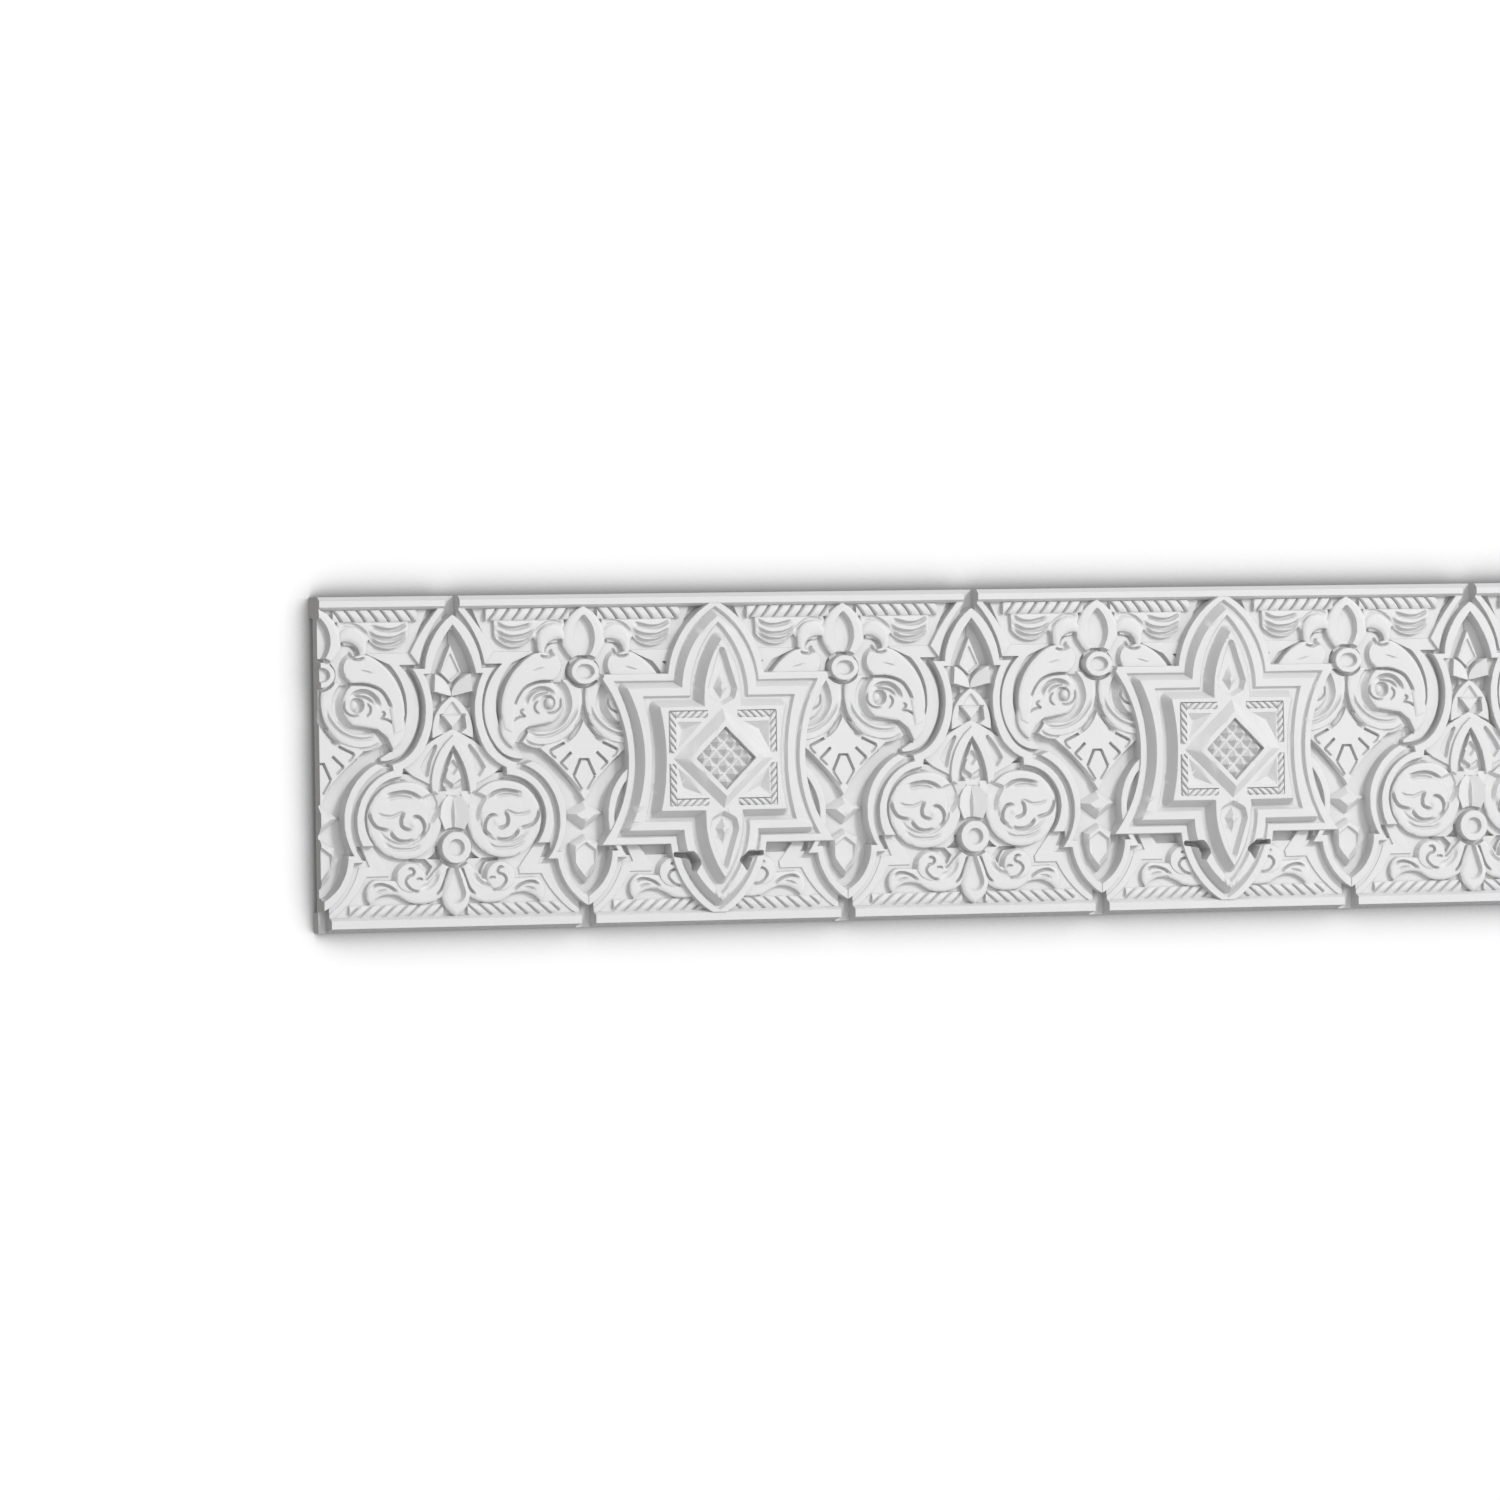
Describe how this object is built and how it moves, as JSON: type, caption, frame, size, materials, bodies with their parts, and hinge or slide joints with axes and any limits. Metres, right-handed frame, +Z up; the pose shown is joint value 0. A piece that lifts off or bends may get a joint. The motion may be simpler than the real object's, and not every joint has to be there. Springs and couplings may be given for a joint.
{
  "type": "carved frieze moulding",
  "caption": "Flat carved wall moulding: ogee panels of scroll leaves between stepped stars that hold a diamond of small pyramids, framed by plain rails, with a shallow channel behind.",
  "frame": {"origin": "mid-length, in the middle of the lower strip of the back, on the wall plane", "axes": "X along the length, +Y into the wall, +Z up; the relief faces -Y"},
  "size_m": [1, 0.0322, 0.196],
  "materials": {
    "primed_white": "matt white primer on cast foam"
  },
  "bodies": {
    "root": {"moulding": "primed_white"}
  },
  "joints": []
}
